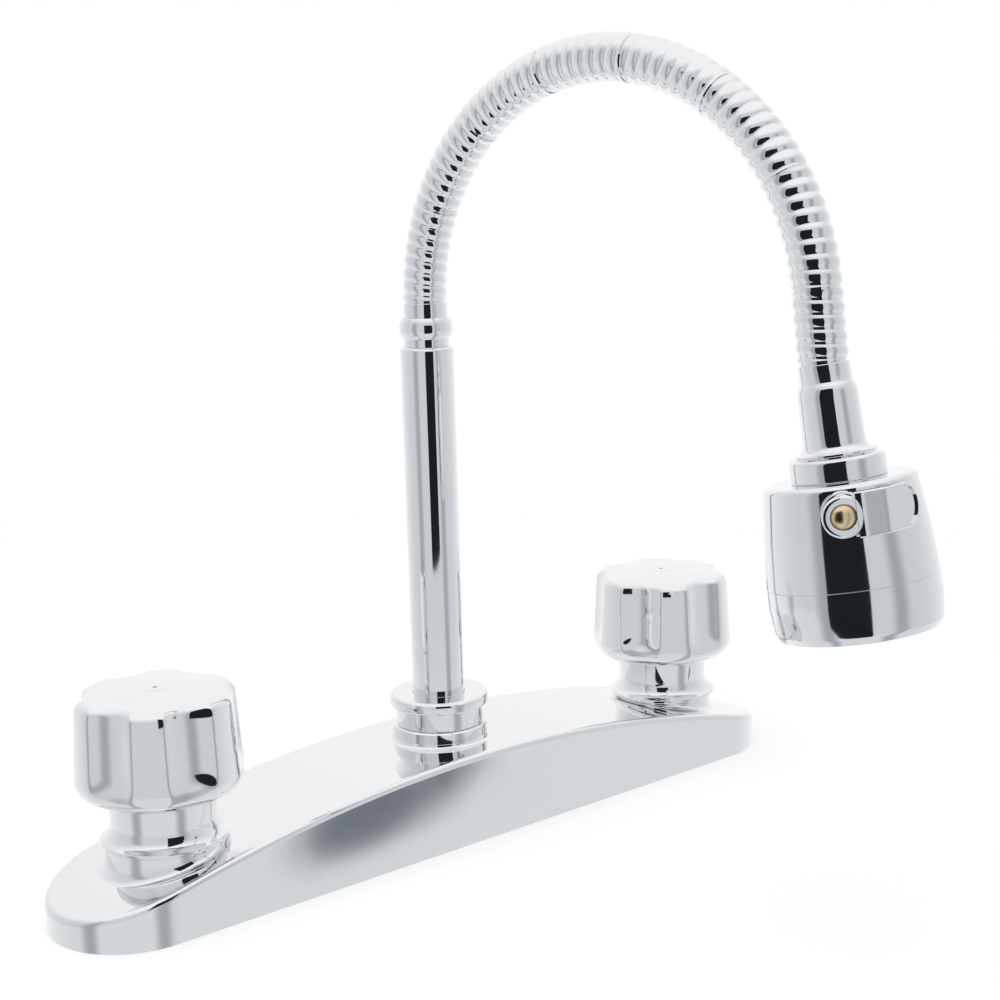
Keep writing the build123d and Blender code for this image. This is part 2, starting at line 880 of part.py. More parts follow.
link_end = neck_frame(link_bend)
bend_per_length = link_bend / (ribs_per_link * rib_pitch)
with BuildPart() as bent_link:
    half_gap = bend_per_length * link_gap / 2
    bent_tube(rib_root_radius, half_gap, link_bend - half_gap)
    add_ribs(neck_frame((rib + 0.5) * link_bend / ribs_per_link) for rib in range(ribs_per_link))
    finish_link(neck_frame(0), link_end)
    bent_tube(hose_bore_radius, 0, link_bend, mode=Mode.SUBTRACT)

with BuildPart() as bent_hose:
    hose_start_bend = bend_per_length * hose_start
    bent_tube(hose_radius, hose_start_bend, link_bend)
    with BuildSketch(link_end) as hose_face:
        Circle(hose_radius)
    extrude(hose_face.sketch, amount=hose_reach)
    bent_tube(hose_radius - hose_wall, hose_start_bend, link_bend, mode=Mode.SUBTRACT)
    drill(link_end, hose_radius - hose_wall, 0, hose_reach)

for number in range(bent_links):
    with BuildPart() as neck_link:
        add(bent_link.part.rotate(neck_arc, number * link_bend))
    save(neck_link, f"neck_link_{number + 1}")
    with BuildPart() as hose_length:
        add(bent_hose.part.rotate(neck_arc, number * link_bend))
    save(hose_length, f"hose_length_{number + 1}")

tail_start = neck_frame(neck_bend)
tail_length = tail_ribs * rib_pitch
with BuildPart() as tail_link:
    with BuildSketch(tail_start.offset(link_gap / 2)):
        Circle(rib_root_radius)
    extrude(amount=tail_length - link_gap)
    add_ribs(tail_start.offset((rib + 0.5) * rib_pitch) for rib in range(tail_ribs))
    finish_link(tail_start, tail_start.offset(tail_length))
    drill(tail_start, hose_bore_radius, 0, tail_length)
save(tail_link, f"neck_link_{bent_links + 1}")

with BuildPart() as tail_hose:
    with BuildSketch(tail_start.offset(hose_start)):
        Circle(hose_radius)
        Circle(hose_radius - hose_wall, mode=Mode.SUBTRACT)
    extrude(amount=tail_length + hose_reach - hose_start)
save(tail_hose, f"hose_length_{bent_links + 1}")

# End fitting: socket, ferrule, collar and flare, then the flange that the swivel nut holds
head = head_frame()
head_section = Plane(origin=head.origin, x_dir=head.x_dir, z_dir=-head.y_dir)
with BuildPart() as neck_end:
    collar_end_radius = end_collar_radius + end_collar_taper
    with BuildSketch(head_section):
        with BuildLine():
            Polyline(
                (end_flare_radius, end_flare_length),
                (stem_radius, end_flare_length),
                (stem_radius, flange_start),
                (flange_radius, flange_start),
                (flange_radius, flange_start + flange_thickness),
                (spigot_radius, flange_start + flange_thickness),
                (spigot_radius, spigot_end),
                (0, spigot_end),
                (0, end_gap),
                (ferrule_radius, end_gap),
                (ferrule_radius, end_ferrule_length),
            )
            Spline(
                (ferrule_radius, end_ferrule_length),
                (end_collar_radius, end_shoulder),
                tangents=((1, 0.6), (0, 1)),
            )
            Line((end_collar_radius, end_shoulder), (collar_end_radius, end_collar_length))
            Spline(
                (collar_end_radius, end_collar_length),
                (end_flare_radius, end_flare_length - end_flare_lip),
                tangents=((0, 1), (1, 0.4)),
            )
            Line(
                (end_flare_radius, end_flare_length - end_flare_lip),
                (end_flare_radius, end_flare_length),
            )
        make_face()
    revolve(axis=Axis(head.origin, head.z_dir))
    with Locations(head):
        Sphere(socket_radius, mode=Mode.SUBTRACT)
    drill(head, hose_bore_radius, 0, spigot_end)
save(neck_end, "neck_end")

# Swivel nut: holds the end fitting's flange down on the core's neck
with BuildPart() as swivel_nut:
    turn(
        head,
        (stem_radius + stem_clearance, swivel_nut_start),
        (swivel_nut_radius, swivel_nut_start),
        (swivel_nut_radius, shell_start),
        (core_neck_radius + thread_clearance, shell_start),
        (core_neck_radius + thread_clearance, flange_start - stem_clearance),
        (stem_radius + stem_clearance, flange_start - stem_clearance),
    )
    fillet(rims_of(swivel_nut, swivel_nut_radius), swivel_nut_edge)
save(swivel_nut, "swivel_nut")

# Head shell: a bell with a flat top and a round pad for the lever
lever = lever_frame()
with BuildPart() as head_shell:
    turn(
        head,
        (core_neck_radius + thread_clearance, shell_start),
        (shell_top_radius, shell_start),
        (shell_end_radius, shell_end),
        (shell_end_radius - head_wall, shell_end),
        (shell_top_radius - head_wall, shell_start + head_wall),
        (core_neck_radius + thread_clearance, shell_start + head_wall),
    )
    fillet(rims_of(head_shell, shell_top_radius), head_edge)
    pad_start = shell_top_radius - lever_pad_root
    with BuildSketch(lever.offset(pad_start)):
        Circle(lever_pad_radius)
    extrude(amount=lever_pad_end - pad_start)
    drill(lever, spool_radius + spool_clearance, core_radius, lever_pad_end)
save(head_shell, "head_shell")

# Core: takes the water from the spigot past the spool to the stream tube or the spray chamber
with BuildPart() as head_core:
    turn(
        head,
        (0, flange_start + flange_thickness + stem_clearance),
        (core_neck_radius, flange_start + flange_thickness + stem_clearance),
        (core_neck_radius, core_shoulder),
        (core_radius, core_shoulder),
        (core_radius, core_end),
        (stream_tube_radius, core_end),
        (stream_tube_radius, plate_start),
        (stream_tube_radius - stream_tube_wall, plate_start),
        (stream_tube_radius - stream_tube_wall, core_end - core_floor),
        (0, core_end - core_floor),
    )
    drill(head, spigot_radius + swivel_clearance, flange_start, spigot_end + stem_clearance)
    drill(head, waterway_radius, spigot_end, core_end)
    drill(lever, spool_radius + spool_clearance, -spool_start - stem_clearance, core_radius + cut_overlap)
save(head_core, "head_core")

# Lower ring of the head, with a lip under the spray plate
with BuildPart() as head_skirt:
    inner_radius = skirt_end_radius - head_wall
    ring_start = shell_end + seam_gap
    turn(
        head,
        (inner_radius, ring_start),
        (shell_end_radius, ring_start),
        (skirt_belly_radius, skirt_belly),
        (skirt_end_radius + skirt_edge_flare, skirt_end - skirt_edge_height),
        (skirt_end_radius - skirt_rim, skirt_end),
        (inner_radius - lip_width, skirt_end),
        (inner_radius - lip_width, plate_start + plate_thickness),
        (inner_radius, plate_start + plate_thickness),
    )
    collar_radius = shell_end_radius - head_wall - seam_gap
    turn(
        head,
        (inner_radius, ring_start - skirt_collar_depth),
        (collar_radius - skirt_collar_taper, ring_start - skirt_collar_depth),
        (collar_radius, ring_start),
        (collar_radius, ring_start + skirt_collar_root),
        (inner_radius, ring_start + skirt_collar_root),
    )
save(head_skirt, "head_skirt")

# Spray plate: rings of fine nozzles round the stream outlet
with BuildPart() as spray_plate:
    plate_radius = inner_radius - plate_clearance
    turn(
        head,
        (aerator_radius + swivel_clearance, plate_start),
        (plate_radius, plate_start),
        (plate_radius, plate_start + plate_thickness),
        (aerator_radius + swivel_clearance, plate_start + plate_thickness),
    )
    for ring_radius in nozzle_ring_radii:
        with BuildSketch(head.offset(plate_start)):
            with PolarLocations(ring_radius, round(2 * pi * ring_radius / nozzle_pitch)):
                Circle(nozzle_radius)
        extrude(amount=plate_thickness, mode=Mode.SUBTRACT)
save(spray_plate, "spray_plate")

# Aerator: a short sleeve closed by a square grid
with BuildPart() as aerator:
    turn(
        head,
        (0, plate_start - plate_thickness),
        (aerator_radius, plate_start - plate_thickness),
        (aerator_radius, aerator_end),
        (0, aerator_end),
    )
    with BuildSketch(head.offset(plate_start - plate_thickness)):
        grid_count = int(2 * (aerator_radius - aerator_wall) / aerator_grid)
        with GridLocations(aerator_grid, aerator_grid, grid_count, grid_count):
            Rectangle(aerator_slot, aerator_slot)
    extrude(amount=aerator_end - plate_start + plate_thickness, mode=Mode.SUBTRACT)
save(aerator, "aerator")

# Spool: a brass plug across the core with a squared end that carries the lever
with BuildPart() as diverter_spool:
    turn(
        lever,
        (0, -spool_start),
        (spool_radius, -spool_start),
        (spool_radius, lever_pad_end),
        (0, lever_pad_end),
    )
    with BuildSketch(lever.offset(lever_pad_end)):
        Rectangle(spool_square, spool_square)
    extrude(amount=lever_boss_end - lever_recess - lever_pad_end - spool_end_play)
    with BuildSketch(lever.offset(-spool_slot_depth)):
        Rectangle(4 * spool_radius, spool_radius)
    extrude(amount=2 * spool_slot_depth, mode=Mode.SUBTRACT)
    drill(lever, lever_screw_radius, lever_pad_end - lever_tap_depth, lever_boss_end)
save(diverter_spool, "diverter_spool")

# Lever: a round boss and a flat tab that bends round the head
with BuildPart() as diverter_lever:
    turn(
        lever,
        (0, lever_boss_start),
        (lever_boss_radius, lever_boss_start),
        (lever_boss_radius, lever_boss_end - lever_edge),
        (lever_boss_radius - lever_edge, lever_boss_end),
        (0, lever_boss_end),
    )
    tab_root = (lever_boss_radius - tab_overlap, lever_boss_end - tab_setback)
    bend_start = (lever_bend_start, lever_boss_end - tab_setback)
    outer_line = [tab_root, bend_start, (lever_knee, lever_knee_depth), (lever_tip, lever_tip_depth)]
    inner_line = inner_side(outer_line, lever_thickness)
    tab_section = Plane(origin=lever.origin, x_dir=lever.x_dir, z_dir=-lever.y_dir)
    with BuildSketch(tab_section):
        with BuildLine():
            Polyline(*outer_line, *reversed(inner_line), close=True)
        make_face()
    extrude(amount=lever_width / 2, both=True)
    short_edges = diverter_lever.edges().filter_by(lambda edge: edge.length < 1.2 * lever_thickness)
    tip_x = inner_line[-1][0]
    tip_corners = short_edges.filter_by(lambda edge: (edge.center() - lever.origin).dot(lever.x_dir) > tip_x)
    fillet(tip_corners, lever_corner)
    with BuildSketch(lever.offset(lever_boss_start)):
        hole_square = spool_square + 2 * square_clearance
        Rectangle(hole_square, hole_square)
    extrude(amount=lever_boss_end - lever_boss_start, mode=Mode.SUBTRACT)
    drill(lever, lever_screw_head_radius + recess_clearance, lever_boss_end - lever_recess, lever_boss_end)
save(diverter_lever, "diverter_lever")

with BuildPart() as lever_screw:
    seat = lever_boss_end - lever_recess
    head_top = seat + lever_screw_head_height
    turn(
        lever,
        (0, lever_pad_end - lever_screw_reach),
        (lever_screw_radius, lever_pad_end - lever_screw_reach),
        (lever_screw_radius, seat),
        (lever_screw_head_radius, seat),
        (lever_screw_head_radius, head_top - lever_screw_edge),
        (lever_screw_head_radius - lever_screw_edge, head_top),
        (0, head_top),
    )
    with BuildSketch(lever.offset(head_top)):
        Rectangle(2 * lever_screw_head_radius, lever_screw_slot)
    extrude(amount=-lever_screw_slot, mode=Mode.SUBTRACT)
save(lever_screw, "lever_screw")
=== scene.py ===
import bpy
import bmesh
import json
import math
from mathutils import Matrix, Vector


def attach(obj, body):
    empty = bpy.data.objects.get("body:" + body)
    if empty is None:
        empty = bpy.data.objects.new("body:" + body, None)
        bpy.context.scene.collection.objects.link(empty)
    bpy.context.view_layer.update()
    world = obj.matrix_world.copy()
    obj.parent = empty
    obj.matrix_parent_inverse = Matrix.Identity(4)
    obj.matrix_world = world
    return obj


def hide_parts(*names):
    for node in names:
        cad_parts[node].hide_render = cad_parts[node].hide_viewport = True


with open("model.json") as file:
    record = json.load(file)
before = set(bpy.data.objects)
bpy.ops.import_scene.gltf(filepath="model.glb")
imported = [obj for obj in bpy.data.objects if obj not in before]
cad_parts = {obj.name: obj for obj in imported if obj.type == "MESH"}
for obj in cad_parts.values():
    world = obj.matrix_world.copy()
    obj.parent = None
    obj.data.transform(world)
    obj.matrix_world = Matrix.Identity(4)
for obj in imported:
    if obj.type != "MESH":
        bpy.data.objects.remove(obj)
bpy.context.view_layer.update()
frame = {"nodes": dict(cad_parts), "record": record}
mm = 0.001
print("frame loaded")


class Wire:
    # wraps one socket, so that shader maths reads as plain expressions
    def __init__(self, tree, socket=None):
        self.tree = tree
        self.socket = socket

    def node(self, kind, settings=None, inputs=None, output=0):
        # adds a node with its settings and the values or links of its sockets, and gives one output
        made = self.tree.nodes.new(kind)
        for name, value in (settings or {}).items():
            setattr(made, name, value)
        for name, value in (inputs or {}).items():
            if isinstance(value, Wire):
                self.tree.links.new(value.socket, made.inputs[name])
            else:
                made.inputs[name].default_value = value
        return Wire(self.tree, made.outputs[output]) if len(made.outputs) else None

    def other(self, output):
        # another output of the same node
        return Wire(self.tree, self.socket.node.outputs[output])

    def maths(self, operation, *values):
        return self.node("ShaderNodeMath", {"operation": operation}, dict(enumerate(values)))

    def __add__(self, other):
        return self.maths("ADD", self, other)

    def __radd__(self, other):
        return self.maths("ADD", other, self)

    def __sub__(self, other):
        return self.maths("SUBTRACT", self, other)

    def __rsub__(self, other):
        return self.maths("SUBTRACT", other, self)

    def __mul__(self, other):
        return self.maths("MULTIPLY", self, other)

    def __rmul__(self, other):
        return self.maths("MULTIPLY", other, self)

    def __truediv__(self, other):
        return self.maths("DIVIDE", self, other)

    def __rtruediv__(self, other):
        return self.maths("DIVIDE", other, self)

    def ramp(self, low, high, start=0.0, end=1.0):
        # goes smoothly from start to end while the value goes from low to high
        return self.node(
            "ShaderNodeMapRange",
            {"interpolation_type": "SMOOTHSTEP"},
            {"Value": self, "From Min": low, "From Max": high, "To Min": start, "To Max": end},
        )

    def mixColor(self, first, second):
        # the first colour where the value is 0, the second where it is 1
        return self.node("ShaderNodeMix", {"data_type": "RGBA"}, {0: self, 6: first, 7: second}, output=2)


def newMaterial(name):
    material = bpy.data.materials.new(name)
    material.use_nodes = True
    material.node_tree.nodes.clear()
    return material, Wire(material.node_tree)


def makeFinish(name, color, metallic, roughness, wear=0.0, grain=90.0, coat=0.0):
    # a plain finish, a little rougher in cloudy patches where it has wear
    material, start = newMaterial(name)
    values = {"Base Color": color, "Metallic": metallic, "Roughness": roughness, "Coat Weight": coat}
    if wear:
        place = start.node("ShaderNodeTexCoord", output="Object")
        cloud = start.node("ShaderNodeTexNoise", None, {"Vector": place, "Scale": grain, "Detail": 4.0})
        values["Roughness"] = cloud.ramp(0.35, 0.75, roughness, roughness + wear)
    surface = start.node("ShaderNodeBsdfPrincipled", None, values)
    start.node("ShaderNodeOutputMaterial", None, {"Surface": surface})
    return material


finishes = {
    "chrome": dict(color=(0.86, 0.865, 0.875, 1), metallic=1.0, roughness=0.045, wear=0.03, grain=55.0),
    "chrome_handle": dict(color=(0.86, 0.865, 0.875, 1), metallic=1.0, roughness=0.05, wear=0.03, grain=70.0),
    "chrome_plastic": dict(color=(0.84, 0.85, 0.87, 1), metallic=1.0, roughness=0.06, wear=0.03, grain=60.0),
    "brass": dict(color=(0.80, 0.66, 0.40, 1), metallic=1.0, roughness=0.22, wear=0.12, grain=260.0),
    "copper": dict(color=(0.80, 0.45, 0.30, 1), metallic=1.0, roughness=0.25, wear=0.1, grain=200.0),
    "steel": dict(color=(0.62, 0.63, 0.65, 1), metallic=1.0, roughness=0.34, wear=0.12, grain=300.0),
    "rubber": dict(color=(0.035, 0.035, 0.037, 1), metallic=0.0, roughness=0.7, wear=0.15, grain=240.0),
    "ceramic": dict(color=(0.80, 0.78, 0.73, 1), metallic=0.0, roughness=0.25, wear=0.1, grain=200.0),
    "white_plastic": dict(color=(0.76, 0.76, 0.73, 1), metallic=0.0, roughness=0.42, wear=0.1, grain=200.0),
    "grey_plastic": dict(color=(0.22, 0.225, 0.235, 1), metallic=0.0, roughness=0.45, wear=0.1, grain=200.0),
    "hot_mark": dict(color=(0.50, 0.04, 0.03, 1), metallic=0.0, roughness=0.18, coat=0.6),
    "cold_mark": dict(color=(0.03, 0.10, 0.42, 1), metallic=0.0, roughness=0.18, coat=0.6),
}
materials = {name: makeFinish(name, **facts) for name, facts in finishes.items()}
slots = {entry["node"]: entry["material_slot"] for entry in frame["record"]["subparts"]}
bodies = frame["record"]["behaviour"]["bodies"]
bodyOf = {node: body for body, nodes in bodies.items() for node in nodes}
for name, node in frame["nodes"].items():
    node.data.materials.clear()
    node.data.materials.append(materials[slots[name]])
print("materials made")


def points(*pairs):
    return [Vector(pair) for pair in pairs]


def rounded(*corners):
    # outline through (radius, height, corner radius), with each corner turned into a short arc
    outline = []
    for index, corner in enumerate(corners):
        size = corner[2] if len(corner) > 2 else 0
        here = Vector(corner[:2])
        if not size or index in (0, len(corners) - 1):
            outline.append(here)
            continue
        back = (Vector(corners[index - 1][:2]) - here).normalized()
        ahead = (Vector(corners[index + 1][:2]) - here).normalized()
        half = back.angle(ahead) / 2
        middle = here + (back + ahead).normalized() * size / math.sin(half)
        first = here + back * size / math.tan(half)
        last = here + ahead * size / math.tan(half)
        sweep = (first - middle).angle_signed(last - middle)
        count = max(3, int(abs(sweep) / 0.2))
        outline.append(first + back * size * 0.2)     # keeps the shading of the flat beside the arc even
        for step in range(count + 1):
            turned = (first - middle).copy()
            turned.rotate(Matrix.Rotation(-sweep * step / count, 2))
            outline.append(middle + turned)
        outline.append(last + ahead * size * 0.2)
    return outline


def arc(start, end, bulge, count=12):
    # outline from start to end on an arc that stands off its chord by the bulge, to the left
    first, last = Vector(start), Vector(end)
    chord = last - first
    side = Vector((-chord.y, chord.x)).normalized()
    radius = (chord.length ** 2 / 4 + bulge ** 2) / (2 * abs(bulge))
    sign = 1 if bulge > 0 else -1
    middle = (first + last) / 2 + side * (bulge - sign * radius)
    spread = math.asin(min(1, chord.length / 2 / radius))
    outline = []
    for step in range(count + 1):
        turn = -spread + 2 * spread * step / count
        direction = side * sign * math.cos(turn) + chord.normalized() * math.sin(turn)
        outline.append(middle + direction * radius)
    return outline


def lathe(outline, steps=96, mesh=None):
    # spins an outline of (radius, height) points about Z
    mesh = mesh or bmesh.new()
    verts = [mesh.verts.new((point[0], 0, point[1])) for point in outline]
    edges = [mesh.edges.new(pair) for pair in zip(verts, verts[1:])]
    bmesh.ops.spin(
        mesh, geom=verts + edges, cent=(0, 0, 0), axis=(0, 0, 1), angle=math.tau, steps=steps, use_merge=True
    )
    bmesh.ops.remove_doubles(mesh, verts=mesh.verts[:], dist=0.0005)
    return mesh


def join(mesh, part):
    # adds the part's faces to the mesh
    data = bpy.data.meshes.new("part")
    part.to_mesh(data)
    part.free()
    mesh.from_mesh(data)
    bpy.data.meshes.remove(data)


def finish(mesh, name, node, place=None, sharp=32.0, replace=True, slot=None):
    # writes a bmesh in millimetres as a finished piece in the frame's metres
    bmesh.ops.recalc_face_normals(mesh, faces=mesh.faces[:])
    place = Matrix.Scale(mm, 4) @ (place or Matrix.Identity(4))
    bmesh.ops.transform(mesh, matrix=place, verts=mesh.verts[:])
    data = bpy.data.meshes.new(name)
    mesh.to_mesh(data)
    mesh.free()
    for face in data.polygons:
        face.use_smooth = True
    data.set_sharp_from_angle(angle=math.radians(sharp))
    piece = bpy.data.objects.new(name, data)
    bpy.context.scene.collection.objects.link(piece)
    used = slot or slots[node]
    data.materials.append(materials[used])
    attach(piece, bodyOf[node])
    if replace:
        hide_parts(node)


plate = {
    "endCenter": 112.75, "halfDepth": 25.0, "crown": 28.6, "archRadius": 474.0, "rimRound": 1.6, "wall": 2.5,
    "endSteps": 48, "sideSteps": 72,
}
valveBoss = {"radius": 17.2, "top": 21.6, "bore": 13.7, "cove": 2.6, "floor": 14.0}
spoutBoss = {"radius": 15.4, "top": 33.5, "bore": 12.2, "cove": 1.6, "floor": 26.0}
valvePlaces = {"hot": -101.6, "cold": 101.6}


def archHeight(x, inset=0.0):
    middle = plate["crown"] - plate["archRadius"]
    return middle + math.sqrt((plate["archRadius"] - inset) ** 2 - x * x)


def plateRing(mesh, inset, height):
    # one closed ring of the plate's plan, moved inwards, at a height that depends on x
    endSteps, sideSteps = plate["endSteps"], plate["sideSteps"]
    halfTurn = endSteps + sideSteps
    ring = bmesh.ops.create_circle(mesh, cap_ends=False, radius=1, segments=2 * halfTurn)["verts"]
    radius = plate["halfDepth"] - inset
    for index, vert in enumerate(ring):
        half, step = divmod(index, halfTurn)
        sign = 1 - 2 * half
        if step < endSteps:
            angle = math.pi * ((step + 0.5) / endSteps - 0.5)
            x, y = plate["endCenter"] + radius * math.cos(angle), radius * math.sin(angle)
        else:
            x = plate["endCenter"] * (1 - 2 * (step - endSteps + 0.5) / sideSteps)
            y = radius
        vert.co = (sign * x, sign * y, height(sign * x))
    return list({edge for vert in ring for edge in vert.link_edges})


def closeRing(mesh, edges):
    # fills a ring with strips that run across the plate
    sides = [edge for edge in edges if edge.verts[0].co.y * edge.verts[1].co.y > 0]
    bmesh.ops.bridge_loops(mesh, edges=sides)
    ends = [edge for edge in edges if edge.verts[0].co.y * edge.verts[1].co.y <= 0]
    bmesh.ops.contextual_create(mesh, geom=[edge for edge in ends if len(edge.link_faces) < 2])


def addBoss(mesh, x, b):
    # round boss whose foot flows into the arched top; its upper edges get their heights by their marks
    insideMark, sideMark, topMark = 40, 50, 60
    outline = []
    for step in range(9):
        turn = step / 8 * math.pi / 2
        outline.append((b["radius"] + b["cove"] * (1 - math.sin(turn)), b["cove"] * (1 - math.cos(turn))))
    outline += [(b["radius"], sideMark), (b["radius"] - 0.4, topMark)]
    outline += [(b["bore"], topMark), (b["bore"], insideMark)]
    part = lathe(outline)
    for vert in part.verts:
        base = archHeight(vert.co.x + x) - 0.02
        mark = round(vert.co.z)
        if mark == topMark:
            vert.co.z = b["top"]
        elif mark == insideMark:
            vert.co.z = b["floor"]
        elif mark == sideMark:
            vert.co.z = min(max(base + 0.02, b["top"] - 0.4), b["top"] - 0.05)
        else:
            room = max(0.0, 0.9 * (b["top"] - 0.5 - base))     # what the arch leaves for the cove
            vert.co.z = base + min(vert.co.z, room * vert.co.z / b["cove"])
        vert.co.x += x
    join(mesh, part)


def makePlate():
    mesh = bmesh.new()
    size, wall = plate["rimRound"], plate["wall"]
    rings = [plateRing(mesh, 0, lambda x: 0.0), plateRing(mesh, 0, lambda x: archHeight(x) - size - 0.4)]
    for step in range(7):
        turn = step / 6 * math.pi / 2
        inset = size * (1 - math.cos(turn))
        drop = size * (1 - math.sin(turn))
        rings.append(plateRing(mesh, inset, lambda x: archHeight(x) - drop))
    rings.append(plateRing(mesh, size + 0.4, archHeight))
    for first, second in zip(rings, rings[1:]):
        bmesh.ops.bridge_loops(mesh, edges=first + second)
    closeRing(mesh, rings[-1])
    inner = [plateRing(mesh, wall, lambda x: 0.0), plateRing(mesh, wall, lambda x: archHeight(x, wall))]
    bmesh.ops.bridge_loops(mesh, edges=inner[0] + inner[1])
    bmesh.ops.bridge_loops(mesh, edges=rings[0] + inner[0])
    closeRing(mesh, inner[1])
    for x in valvePlaces.values():
        addBoss(mesh, x, valveBoss)
    addBoss(mesh, 0, spoutBoss)
    finish(mesh, "deckPlate", "deck_plate")


makePlate()
print("plate made")


bonnet = {
    "bore": 12.1, "rim": 18.5, "rimBottom": 21.62, "rimTop": 23.2, "flare": 0.9, "neck": 15.4,
    "neckHeight": 28.5, "top": 37.6, "topBore": 9.4, "ledge": 27.0,
}
knob = {
    "bottom": 36.2, "top": 66.5, "dome": 0.8, "crown": 23.5, "belly": 24.8, "bellyHeight": 42.0, "foot": 21.2,
    "edge": 3.6, "flutes": 6, "fluteRadius": 16.0, "fluteDepth": 2.8, "ridge": 0.7, "scoopStart": 39.5,
    "scoopEnd": 46.0, "scoopLeft": 0.2, "steps": 252, "phase": {"hot": 25.0, "cold": 27.0},
    "hollow": 16.5, "hollowTop": 58.0, "hub": 6.4, "hubTop": 60.0, "hubBottom": 38.0, "screwWell": 4.05,
    "wellFloor": 57.0,
}
button = {"radius": 3.7, "height": 0.15, "edge": 0.4, "plug": 3.3, "stem": 1.8, "dot": 0.7, "dotDepth": 0.3}


def makeBonnet(side):
    b = bonnet
    lip = (b["rim"] - 0.7, b["rimTop"])
    outline = rounded(
        (b["bore"], b["rimBottom"]), (b["rim"], b["rimBottom"], 0.35), (b["rim"], b["rimTop"] - 0.5, 0.35), lip
    )
    outline += arc(lip, (b["neck"], b["neckHeight"]), b["flare"])[1:]
    outline += points(
        (b["neck"], b["top"]), (b["topBore"], b["top"]), (b["topBore"], b["ledge"]), (b["bore"], b["ledge"]),
        (b["bore"], b["rimBottom"]),
    )
    finish(lathe(outline), side + "Bonnet", side + "_bonnet", Matrix.Translation((valvePlaces[side], 0, 0)))


def fluteInset(angle, radius):
    # how far the flute lies inside the round section, at an angle from its middle
    reach = radius - knob["fluteDepth"] + knob["fluteRadius"]
    beside = reach * math.sin(angle)
    floor = reach * math.cos(angle) - math.sqrt(max(0.0, knob["fluteRadius"] ** 2 - beside ** 2))
    inset, soft = radius - floor, knob["ridge"]
    return 0.5 * (inset + math.sqrt(inset * inset + soft * soft))     # rounds the ridge beside the flute


def makeKnob(side):
    k = knob
    rimHeight = k["top"] - k["dome"]
    slope = (k["belly"] - k["crown"]) / (rimHeight - k["bellyHeight"])
    flatEnd = (k["crown"] - k["edge"] - 1, rimHeight)
    outline = arc((0, k["top"]), flatEnd, 0.25, 8)
    outline += rounded(flatEnd, (k["crown"], rimHeight, k["edge"]), (k["belly"], k["bellyHeight"]))[1:-1]
    height = outline[-1].y
    for step in range(1, 12):     # closer together towards the belly, where the flutes fade
        z = height + (k["bellyHeight"] - height) * (1 - (1 - step / 12) ** 1.6)
        outline.append(Vector((k["belly"] - slope * (z - k["bellyHeight"]), z)))
    outline += arc((k["belly"], k["bellyHeight"]), (k["foot"], k["bottom"] + 0.25), 1.0, 14)
    outline += points(
        (k["foot"] - 0.5, k["bottom"]), (k["hollow"], k["bottom"]), (k["hollow"], k["hollowTop"]),
        (k["hub"], k["hubTop"]), (k["hub"], k["hubBottom"]), (k["screwWell"], k["hubBottom"]),
        (k["screwWell"], k["wellFloor"]), (0, k["wellFloor"]),
    )
    mesh = lathe(outline, k["steps"])
    phase = math.radians(k["phase"][side])
    part = math.tau / k["flutes"]
    for vert in mesh.verts:
        radius = math.hypot(vert.co.x, vert.co.y)
        if radius < k["hollow"] + 0.5 and vert.co.z < k["hubTop"] + 0.5:
            continue
        angle = (math.atan2(vert.co.y, vert.co.x) - phase + part / 2) % part - part / 2
        full = k["belly"] - slope * (vert.co.z - k["bellyHeight"])
        fade = min(1.0, max(0.0, (vert.co.z - k["scoopStart"]) / (k["scoopEnd"] - k["scoopStart"])))
        fade = k["scoopLeft"] + (1 - k["scoopLeft"]) * fade * fade * (3 - 2 * fade)
        scale = 1 - fluteInset(angle, full) / full * fade
        vert.co.x *= scale
        vert.co.y *= scale
    finish(mesh, side + "Knob", side + "_handle", Matrix.Translation((valvePlaces[side], 0, 0)), sharp=50)


def makeButton(side):
    b = button
    seat = knob["top"]
    top = seat + b["height"]
    outline = rounded(
        (0, top), (b["radius"], top - 0.05, 0.15), (b["radius"], seat - b["edge"]),
        (b["plug"], seat - b["edge"]), (b["plug"], seat - b["stem"]), (0, seat - b["stem"]),
    )
    place = Matrix.Translation((valvePlaces[side], 0, 0))
    finish(lathe(outline, 64), side + "Button", side + "_index_cap", place, slot="chrome_handle")
    dot = lathe([(0, top + 0.04), (b["dot"], top + 0.02), (b["dot"], seat - b["dotDepth"])], 48)
    finish(dot, side + "Dot", side + "_index_cap", place, replace=False)


for side in valvePlaces:
    makeBonnet(side)
    makeKnob(side)
    makeButton(side)
print("valves made")


spoutNut = {
    "body": 14.2, "flange": 16.0, "bottom": 33.52, "step": 39.6, "top": 43.5, "bore": 8.46, "well": 12.0,
    "wellTop": 38.7,
}
spoutTube = {"radius": 8.4, "bore": 6.6, "foot": 16.0, "top": 155.5, "shoulder": 1.4, "lip": 6.9}


def makeSpoutNut():
    n = spoutNut
    outline = rounded(
        (n["bore"], n["wellTop"]), (n["well"], n["wellTop"]), (n["well"], n["bottom"]),
        (n["body"], n["bottom"], 0.3), (n["body"], n["step"], 0.4), (n["flange"], n["step"], 0.9),
        (n["flange"], n["top"], 1.5), (n["bore"], n["top"], 0.12), (n["bore"], n["wellTop"]),
    )
    finish(lathe(outline, 128), "spoutNut", "spout_nut")


def makeSpoutTube():
    t = spoutTube
    outline = rounded(
        (t["bore"], t["foot"]), (t["radius"], t["foot"], 0.2), (t["radius"], t["top"], t["shoulder"]),
        (t["lip"], t["top"]), (t["bore"], t["top"]), (t["bore"], t["foot"]),
    )
    finish(lathe(outline, 128), "spoutTube", "spout_tube")


makeSpoutNut()
makeSpoutTube()
print("spout made")


